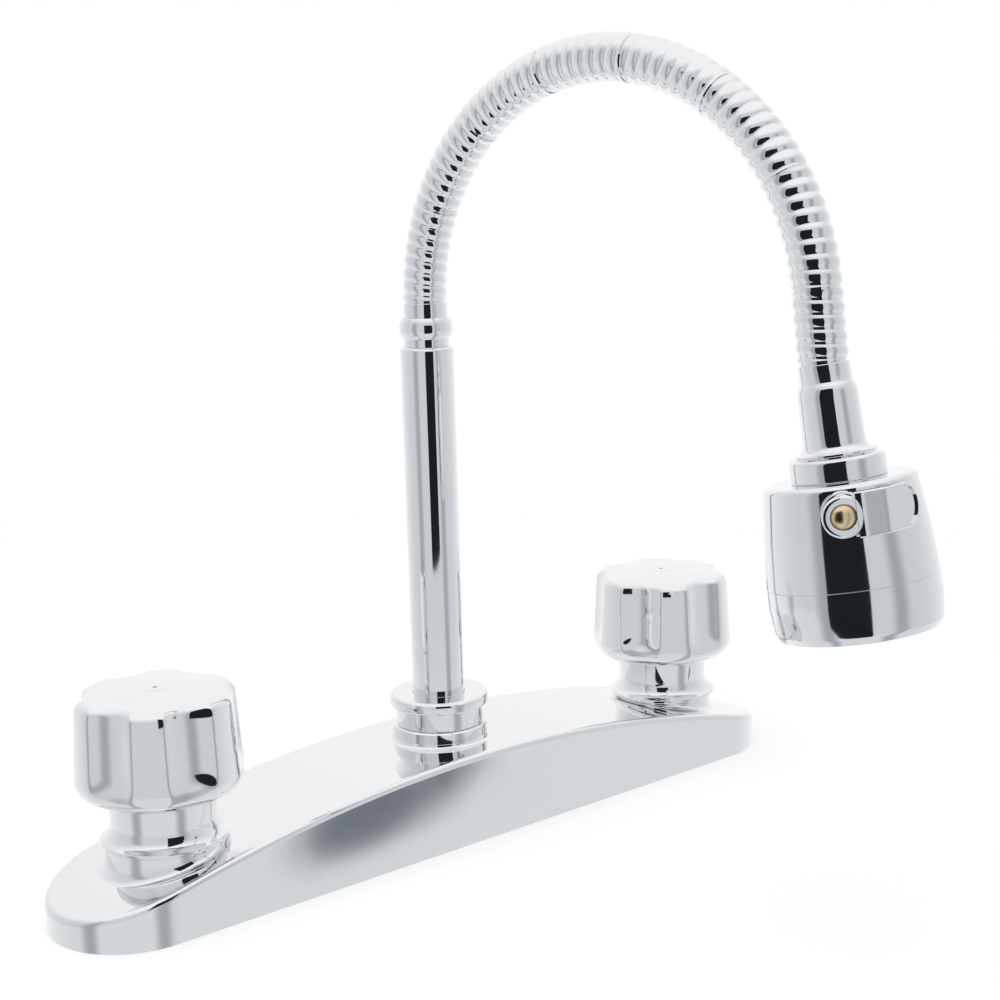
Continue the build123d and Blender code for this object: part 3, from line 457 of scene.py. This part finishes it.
neck = {
    "turn": 10.0, "start": 169.5, "bendRadius": 69.5, "bend": 174.0, "links": 7, "ribsPerLink": 8,
    "tailRibs": 5, "crest": 6.85, "valley": 6.28, "ball": 6.18, "socket": 6.24, "ballTop": 3.38, "bore": 4.4,
    "halfGap": 0.42, "around": 32,
}
neckFoot = {
    "plug": 6.5, "bottom": 146.5, "groove": 7.05, "beadStart": 158.0, "beadEnd": 164.5, "beadLow": 7.5,
    "beadHigh": 7.35, "ferrule": 6.85, "end": 169.05, "ballFoot": 0.45,
}
neckOut = Vector((math.sin(math.radians(neck["turn"])), -math.cos(math.radians(neck["turn"])), 0))
neckSide = Vector((-neckOut.y, neckOut.x, 0))
linkLength = neck["bendRadius"] * math.radians(neck["bend"] / neck["links"])
ribPitch = linkLength / neck["ribsPerLink"]
arcLength = linkLength * neck["links"]
tailLength = neck["tailRibs"] * ribPitch


def bendPoint(point):
    # carries a point beside the straight neck onto its curve; the straight neck runs up Z from the start
    along = min(max(point.z, 0.0), arcLength)
    angle = along / neck["bendRadius"]
    tangent = neckOut * math.sin(angle) + Vector((0, 0, math.cos(angle)))
    inward = neckOut * math.cos(angle) - Vector((0, 0, math.sin(angle)))
    middle = neckOut * neck["bendRadius"] * (1 - math.cos(angle))
    middle += Vector((0, 0, neck["start"] + neck["bendRadius"] * math.sin(angle)))
    return middle + tangent * (point.z - along) + inward * point.y + neckSide * point.x


def ballArc(center, first, last):
    # seven steps along a ball's outline, from one height beside its centre to another
    outline = []
    for step in range(1, 8):
        z = first + (last - first) * step / 7
        outline.append(Vector((math.sqrt(neck["ball"] ** 2 - z * z), center + z)))
    return outline


def ribbedSleeve(mesh, start, end):
    # a screw-turned rib, cut square at both ends
    n = neck["around"]
    low = start - 2 * ribPitch
    turns = int((end - start) / ribPitch) + 4
    profile = []
    for step in range(8):
        wave = 0.5 - 0.5 * math.cos(math.tau * step / 8)
        radius = neck["valley"] + (neck["crest"] - neck["valley"]) * wave ** 0.5
        profile.append((radius, low + ribPitch * step / 8))
    profile.append((neck["valley"], low + ribPitch))
    verts = [mesh.verts.new((r, 0, z)) for r, z in profile]
    edges = [mesh.edges.new(pair) for pair in zip(verts, verts[1:])]
    bmesh.ops.spin(
        mesh, geom=verts + edges, cent=(0, 0, 0), axis=(0, 0, 1), dvec=(0, 0, ribPitch / n),
        angle=math.tau * turns, steps=n * turns,
    )
    bmesh.ops.remove_doubles(mesh, verts=mesh.verts[:], dist=0.002)
    for height, direction in ((start, -1), (end, 1)):
        bmesh.ops.bisect_plane(
            mesh, geom=mesh.verts[:] + mesh.edges[:] + mesh.faces[:], plane_co=(0, 0, height),
            plane_no=(0, 0, direction), clear_outer=True,
        )


def makeLink(number):
    # the sleeve outside, and inside it the socket, the bore and the ball that stands in the next link
    start = (number - 1) * linkLength
    end = start + (tailLength if number > neck["links"] else linkLength)
    gap, socket, bore = neck["halfGap"], neck["socket"], neck["bore"]
    mesh = bmesh.new()
    ribbedSleeve(mesh, start + gap, end - gap)
    seat = math.sqrt(socket ** 2 - bore ** 2)
    inner = []
    for step in range(5):
        z = gap + (seat - gap) * step / 4
        inner.append(Vector((math.sqrt(socket ** 2 - z * z), start + z)))
    for step in range(1, 6):
        inner.append(Vector((bore, start + seat + (end + neck["ballTop"] - start - seat) * step / 5)))
    inner += ballArc(end, neck["ballTop"], -gap)
    lathe(inner, neck["around"], mesh)
    for height in (start + gap, end - gap):
        rims = [edge for edge in mesh.edges if edge.is_boundary]
        rims = [edge for edge in rims if all(abs(vert.co.z - height) < 0.01 for vert in edge.verts)]
        bmesh.ops.bridge_loops(mesh, edges=rims)
    for vert in mesh.verts:
        vert.co = bendPoint(vert.co)
    finish(mesh, "neckLink" + str(number), "neck_link_" + str(number), sharp=60)


def makeNeckBase():
    n = neckFoot
    tubeTop = spoutTube["top"] + 0.02
    mouth = math.sqrt(neck["ball"] ** 2 - n["ballFoot"] ** 2)
    outline = points((n["plug"], n["bottom"]), (n["plug"], tubeTop), (n["groove"], tubeTop))
    outline += points((n["groove"], n["beadStart"]))
    outline += arc((n["beadLow"], n["beadStart"]), (n["beadHigh"], n["beadEnd"]), -1.0, 16)
    outline += rounded((n["ferrule"], n["beadEnd"]), (n["ferrule"], n["end"], 0.3), (mouth, n["end"]))
    outline += ballArc(neck["start"], -n["ballFoot"], neck["ballTop"])
    outline += points(
        (neck["bore"], neck["start"] + neck["ballTop"]), (neck["bore"], n["bottom"]), (n["plug"], n["bottom"])
    )
    finish(lathe(outline), "neckBase", "neck_base")


for number in range(1, neck["links"] + 2):
    makeLink(number)
makeNeckBase()
print("neck made")


def frameMatrix(origin, xAxis, zAxis):
    yAxis = zAxis.cross(xAxis)
    matrix = Matrix((xAxis, yAxis, zAxis)).transposed().to_4x4()
    matrix.translation = origin
    return matrix


head = {"lean": 9.5, "leverTurn": 150.0, "leverHeight": 38.0}
headOrigin = bendPoint(Vector((0, 0, arcLength + tailLength)))
lean, leverTurn = math.radians(head["lean"]), math.radians(head["leverTurn"])
headDown = neckOut * math.sin(lean) - Vector((0, 0, math.cos(lean)))
headPlace = frameMatrix(headOrigin, neckSide, headDown)
headAcross = headDown.cross(neckSide)
leverOut = neckSide * math.cos(leverTurn) + headAcross * math.sin(leverTurn)
leverAlong = neckSide * math.sin(leverTurn) - headAcross * math.cos(leverTurn)
leverPlace = frameMatrix(headOrigin + headDown * head["leverHeight"], leverAlong, leverOut)

fitting = {
    "seat": 4.1, "start": 0.7, "ferrule": 6.85, "ferruleEnd": 5.4, "collar": 7.9, "shoulder": 9.6, "taper": 0.3,
    "collarEnd": 21.5, "flare": 10.8, "flareEnd": 24.6, "stem": 7.0, "clipStart": 27.6, "clip": 9.0,
    "clipEnd": 29.4, "spigot": 6.0, "spigotEnd": 34.0,
}
swivel = {
    "radius": 12.6, "start": 24.9, "end": 31.0, "edge": 1.2, "bore": 7.3, "well": 11.0, "wellStart": 27.3,
}
shell = {
    "start": 31.0, "top": 20.0, "waist": 21.75, "waistHeight": 45.0, "end": 57.8, "bottom": 22.7, "wall": 2.0,
    "edge": 1.7, "bore": 11.0,
}
skirt = {
    "start": 57.83, "shoulder": 22.6, "belly": 22.8, "bellyHeight": 62.5, "end": 71.6, "bottom": 21.7,
    "roundHeight": 69.8, "lip": 18.1, "lipHeight": 67.0, "inner": 19.7, "sleeve": 20.2, "sleeveEnd": 20.45,
    "sleeveLength": 4.0,
}
pad = {"radius": 5.3, "end": 22.6, "foot": 5.8, "footStart": 18.8, "footEnd": 20.0}


def makeNeckEnd():
    f = fitting
    bore, collarFoot = neck["bore"], (f["collar"] + f["taper"], f["collarEnd"])
    outline = [Vector((math.sqrt(neck["socket"] ** 2 - z * z), z)) for z in (f["seat"], 2.9, 1.7, f["start"])]
    outline += rounded((5.7, f["start"]), (f["ferrule"], f["start"], 0.3), (f["ferrule"], f["ferruleEnd"]))[1:]
    outline += arc((f["ferrule"], f["ferruleEnd"]), (f["collar"], f["shoulder"]), -0.35, 8)[1:]
    outline += arc((f["collar"], f["shoulder"]), collarFoot, 0.03, 6)[1:]
    outline += arc(collarFoot, (f["flare"], f["flareEnd"] - 0.7), 0.7, 8)[1:]
    outline += rounded(
        (f["flare"], f["flareEnd"] - 0.7), (f["flare"], f["flareEnd"], 0.3), (f["stem"], f["flareEnd"]),
        (f["stem"], f["clipStart"]), (f["clip"], f["clipStart"]), (f["clip"], f["clipEnd"]),
        (f["spigot"], f["clipEnd"]), (f["spigot"], f["spigotEnd"]), (bore, f["spigotEnd"]), (bore, f["seat"]),
    )[1:]
    finish(lathe(outline), "neckEnd", "neck_end", headPlace)


def makeSwivelNut():
    s = swivel
    outline = rounded(
        (s["bore"], s["start"]), (s["radius"], s["start"], s["edge"]), (s["radius"], s["end"], 0.3),
        (s["well"], s["end"]), (s["well"], s["wellStart"]), (s["bore"], s["wellStart"]),
        (s["bore"], s["start"]),
    )
    finish(lathe(outline), "swivelNut", "swivel_nut", headPlace)


def makeHeadShell():
    s = shell
    inside = s["start"] + s["wall"]
    outline = rounded(
        (s["bore"], s["start"]), (s["top"], s["start"], s["edge"]), (s["waist"], s["waistHeight"]),
        (s["bottom"], s["end"], 0.12), (s["bottom"] - s["wall"], s["end"]), (s["top"] - s["wall"], inside),
        (s["bore"], inside), (s["bore"], s["start"]),
    )
    finish(lathe(outline, 128), "headShell", "head_shell", headPlace)
    p = pad
    outline = rounded(
        (4.0, p["end"]), (p["radius"], p["end"], 0.5), (p["foot"], p["footEnd"]), (p["foot"], p["footStart"])
    )
    finish(lathe(outline, 64), "leverPad", "head_shell", leverPlace, replace=False)


def makeHeadSkirt():
    s = skirt
    sleeveTop = s["start"] - s["sleeveLength"]
    outline = points((s["inner"], sleeveTop), (s["sleeve"], sleeveTop), (s["sleeveEnd"], s["start"]))
    outline += rounded(
        (s["sleeveEnd"], s["start"]), (s["shoulder"], s["start"], 0.12), (s["belly"], s["bellyHeight"]),
        (s["bottom"] + 0.35, s["roundHeight"], 1.5), (s["bottom"] - 0.6, s["end"], 0.4),
        (s["lip"], s["end"], 0.3), (s["lip"], s["lipHeight"]), (s["inner"], s["lipHeight"]),
        (s["inner"], sleeveTop),
    )[1:]
    finish(lathe(outline, 128), "headSkirt", "head_skirt", headPlace)


makeNeckEnd()
makeSwivelNut()
makeHeadShell()
makeHeadSkirt()


lever = {
    "boss": 5.4, "start": 22.9, "end": 28.6, "recess": 1.6, "faceTilt": 0.24, "drop": 0.6, "thickness": 2.4,
    "width": 11.6, "bendStart": 5.2, "knee": 11.6, "kneeDepth": 24.8, "tip": 19.0, "tipDepth": 16.0,
    "round": 5.0, "edge": 0.6,
}
screw = {"radius": 3.2, "rim": 0.5, "dome": 1.5, "shank": 1.4, "length": 7.0, "play": 0.06}


def leverPath():
    # the tab's outer side, with soft bends
    v = lever
    top = v["end"] - v["drop"]
    return rounded(
        (v["boss"] - 2, top), (v["bendStart"], top, 3.0), (v["knee"], v["kneeDepth"], 4.0),
        (v["tip"], v["tipDepth"]),
    )


def followPath(path, run):
    # the point and outward normal at a distance along a path
    for first, last in zip(path, path[1:]):
        step = (last - first).length
        if run <= step or last is path[-1]:
            along = (last - first).normalized()
            return first + along * run, Vector((-along.y, along.x))
        run -= step


def tiltFace(mesh, above):
    # leans the lever's face towards its tab
    for vert in mesh.verts:
        if vert.co.z > above:
            vert.co.z -= vert.co.x * lever["faceTilt"]


def makeTab(mesh):
    # flat strip with a round end, built in layers through its thickness and bent along the path
    v = lever
    path = leverPath()
    length = sum((last - first).length for first, last in zip(path, path[1:]))
    half, tipRound, edge = v["width"] / 2, v["round"], v["edge"]
    edgeSteps, straightSteps, tipSteps = 5, 25, 15
    layers = []
    for step in range(edgeSteps + 1):
        turn = step / edgeSteps * math.pi / 2
        layers.append((edge * (1 - math.sin(turn)), edge * (1 - math.cos(turn))))
    layers += [(v["thickness"] - depth, inset) for depth, inset in reversed(layers)]
    rings = []
    for depth, inset in layers:
        ring = []
        for index in range(straightSteps + tipSteps + 1):
            if index <= straightSteps:
                run, across = (length - tipRound) * index / straightSteps, half - inset
            else:
                turn = (index - straightSteps) / tipSteps * math.pi / 2
                run = length - tipRound + (tipRound - inset) * math.sin(turn)
                across = (half - inset) * math.cos(turn)
            place, normal = followPath(path, run)
            place = place - normal * depth
            ring.append([mesh.verts.new((place.x, side * across, place.y)) for side in (-1, 1)])
        rings.append(ring)
    for upper, lower in zip(rings, rings[1:]):
        for side in (0, 1):
            for index in range(straightSteps + tipSteps):
                corners = (upper[index], upper[index + 1], lower[index + 1], lower[index])
                mesh.faces.new([corner[side] for corner in corners])
        mesh.faces.new((upper[0][0], upper[0][1], lower[0][1], lower[0][0]))
    for ring in (rings[0], rings[-1]):
        for first, second in zip(ring, ring[1:]):
            mesh.faces.new((first[0], first[1], second[1], second[0]))
    tips = [vert for ring in rings for vert in ring[-1]]
    bmesh.ops.remove_doubles(mesh, verts=tips, dist=0.001)


def makeLever():
    v = lever
    hole, floor = screw["radius"] + screw["play"], v["end"] - v["recess"]
    mesh = lathe(rounded(
        (0, v["start"]), (v["boss"], v["start"], 0.4), (v["boss"], v["end"], 0.9), (hole, v["end"], 0.15),
        (hole, floor), (0, floor),
    ), 64)
    tiltFace(mesh, v["end"] - 1.5)
    makeTab(mesh)
    finish(mesh, "leverTab", "diverter_lever", leverPlace, sharp=40)


def makeLeverScrew():
    seat = lever["end"] - lever["recess"]
    rim = lever["end"] - screw["rim"]
    end = seat - screw["length"]
    outline = points((0, end), (screw["shank"], end), (screw["shank"], seat), (screw["radius"], seat))
    dome = arc((screw["radius"], rim), (-screw["radius"], rim), -screw["dome"], 24)
    mesh = lathe(outline + dome[:13], 48)
    tiltFace(mesh, rim - 0.3)
    finish(mesh, "leverScrew", "lever_screw", leverPlace)


makeLever()
makeLeverScrew()
print("head made")


studio = {
    "floorRadius": 1.6, "floorColor": (0.93, 0.93, 0.93, 1), "glowStart": 0.18, "glowEnd": 0.6,
    "glowLeast": 0.55, "ambient": 0.72, "facing": (0.66, 0.69, 0.71, 1), "bandColor": (0.40, 0.43, 0.45, 1),
    "cornerColor": (0.10, 0.12, 0.15, 1),
}
window = {
    "ahead": 0.3, "left": -0.048, "right": 0.112, "bottom": 0.030, "top": 0.260,
    "color": (0.012, 0.014, 0.018, 1),
}
lamps = {
    "softTop": {"place": (-0.2, -0.1, 1.3), "size": 1.4, "power": 9.0},
    "softFront": {"place": (-1.0, -0.9, 0.9), "size": 0.9, "power": 4.0},
}
camera = {
    "place": (-0.327545, -0.433199, 0.211082), "yaw": 39.3685, "pitch": 10.9892, "roll": -1.5998,
    "focal": 1738.36, "width": 1000, "sensor": 36.0,
}


def stageObject(mesh, name, material):
    data = bpy.data.meshes.new(name)
    mesh.to_mesh(data)
    mesh.free()
    data.materials.append(material)
    made = bpy.data.objects.new(name, data)
    bpy.context.scene.collection.objects.link(made)
    return made


def makeFloor():
    # pale cloth that glows into the white background around the object
    material, start = newMaterial("paleFloor")
    place = start.node("ShaderNodeTexCoord", output="Object")
    spread = start.node("ShaderNodeVectorMath", {"operation": "LENGTH"}, {0: place}, output="Value")
    seen = start.node("ShaderNodeLightPath", output="Is Camera Ray")
    glow = start.node("ShaderNodeEmission", None, {"Color": (1, 1, 1, 1), "Strength": 1.0})
    cloth = start.node("ShaderNodeBsdfDiffuse", None, {"Color": studio["floorColor"]})
    share = seen * spread.ramp(studio["glowStart"], studio["glowEnd"], studio["glowLeast"], 1.0)
    surface = start.node("ShaderNodeMixShader", None, {0: share, 1: cloth, 2: glow})
    start.node("ShaderNodeOutputMaterial", None, {"Surface": surface})
    mesh = bmesh.new()
    bmesh.ops.create_circle(mesh, cap_ends=True, radius=studio["floorRadius"], segments=96)
    floor = stageObject(mesh, "floor", material)
    floor.location.z = -0.1 * mm
    floor.visible_glossy = False


def roomColor(start):
    # what the chrome reflects: pale walls, greyer in front, with a grey band on each side
    degree = math.pi / 180
    x = start.node("ShaderNodeSeparateXYZ", None, {0: start.node("ShaderNodeTexCoord", output="Generated")})
    azimuth = start.maths("ARCTAN2", x, x.other("Y") * -1.0)     # 0 on the user's side, growing to +X
    elevation = start.maths("ARCSINE", x.other("Z"))
    side = start.maths("WRAP", azimuth + camera["yaw"] * degree, math.pi, -math.pi)
    away = start.maths("ABSOLUTE", side)
    front = away.ramp(70 * degree, 175 * degree, 1.0, 0.0) * elevation.ramp(25 * degree, 60 * degree, 1.0, 0.0)
    front = front * elevation.ramp(-19 * degree, -15 * degree, 0.75, 1.0)
    band = away.ramp(32 * degree, 47 * degree) * away.ramp(51 * degree, 68 * degree, 1.0, 0.0)
    band = band * elevation.ramp(20 * degree, 40 * degree, 1.0, 0.0)
    across = side - 74.6 * degree     # a dim corner of the room, low on the right
    rise = (elevation + 20.6 * degree - across * 0.42) / (1.3 * degree)
    across = across / (3.4 * degree)
    corner = (across * across + rise * rise).ramp(0.25, 1.6, 0.9, 0.0)
    walls = band.mixColor(front.mixColor((1.0, 1.0, 1.0, 1), studio["facing"]), studio["bandColor"])
    return corner.mixColor(walls, studio["cornerColor"])


def makeWorld():
    world = bpy.data.worlds.new("studio")
    world.use_nodes = True
    world.node_tree.nodes.clear()
    start = Wire(world.node_tree)
    cameraRay = start.node("ShaderNodeLightPath", output="Is Camera Ray")
    glossyRay, clearRay = cameraRay.other("Is Glossy Ray"), cameraRay.other("Is Transmission Ray")
    mirrored = start.maths("MINIMUM", glossyRay + clearRay, 1.0)
    white = (1, 1, 1, 1)
    room = cameraRay.mixColor(mirrored.mixColor(white, roomColor(start)), white)
    shown = start.maths("MINIMUM", cameraRay + mirrored, 1.0)
    strength = shown * (1.0 - studio["ambient"]) + studio["ambient"]
    back = start.node("ShaderNodeBackground", None, {"Color": room, "Strength": strength})
    start.node("ShaderNodeOutputWorld", None, {"Surface": back})
    bpy.context.scene.world = world


def makeWindow():
    # the dark gap in the tent that the camera looks through, which only reflections show
    w = window
    material, start = newMaterial("darkRoom")
    dark = start.node("ShaderNodeEmission", None, {"Color": w["color"], "Strength": 1.0})
    start.node("ShaderNodeOutputMaterial", None, {"Surface": dark})
    yaw = math.radians(camera["yaw"])
    ahead = Vector((math.sin(yaw), math.cos(yaw), 0))
    right = Vector((math.cos(yaw), -math.sin(yaw), 0))
    middle = Vector(camera["place"]) + ahead * w["ahead"]
    mesh = bmesh.new()
    corners = []
    for across, height in (("left", "bottom"), ("right", "bottom"), ("right", "top"), ("left", "top")):
        place = middle + right * w[across]
        corners.append(mesh.verts.new((place.x, place.y, w[height])))
    mesh.faces.new(corners)
    card = stageObject(mesh, "window", material)
    card.visible_camera = False
    card.visible_diffuse = False
    card.visible_shadow = False


def makeLamp(name, facts):
    data = bpy.data.lights.new(name, "AREA")
    data.shape = "DISK"
    data.size = facts["size"]
    data.energy = facts["power"]
    lamp = bpy.data.objects.new(name, data)
    lamp.location = facts["place"]
    aim = Vector((0, 0, 0.1)) - Vector(facts["place"])
    lamp.rotation_euler = aim.to_track_quat("-Z", "Y").to_euler()
    lamp.visible_glossy = False
    bpy.context.scene.collection.objects.link(lamp)


def makeCamera():
    c = camera
    yaw, pitch, roll = (math.radians(c[name]) for name in ("yaw", "pitch", "roll"))
    ahead = Vector((math.sin(yaw) * math.cos(pitch), math.cos(yaw) * math.cos(pitch), -math.sin(pitch)))
    level = Vector((math.cos(yaw), -math.sin(yaw), 0))
    up = level.cross(ahead)
    right = level * math.cos(roll) + up * math.sin(roll)
    up = up * math.cos(roll) - level * math.sin(roll)
    matrix = Matrix((right, up, -ahead)).transposed().to_4x4()
    matrix.translation = c["place"]
    data = bpy.data.cameras.new("photoCamera")
    data.sensor_width = c["sensor"]
    data.lens = c["focal"] * c["sensor"] / c["width"]
    data.clip_start = 0.01
    view = bpy.data.objects.new("photoCamera", data)
    view.matrix_world = matrix
    bpy.context.scene.collection.objects.link(view)
    bpy.context.scene.camera = view


makeFloor()
makeWorld()
makeWindow()
for name, facts in lamps.items():
    makeLamp(name, facts)
makeCamera()
bpy.context.scene.view_settings.view_transform = "Standard"
print("stage made")
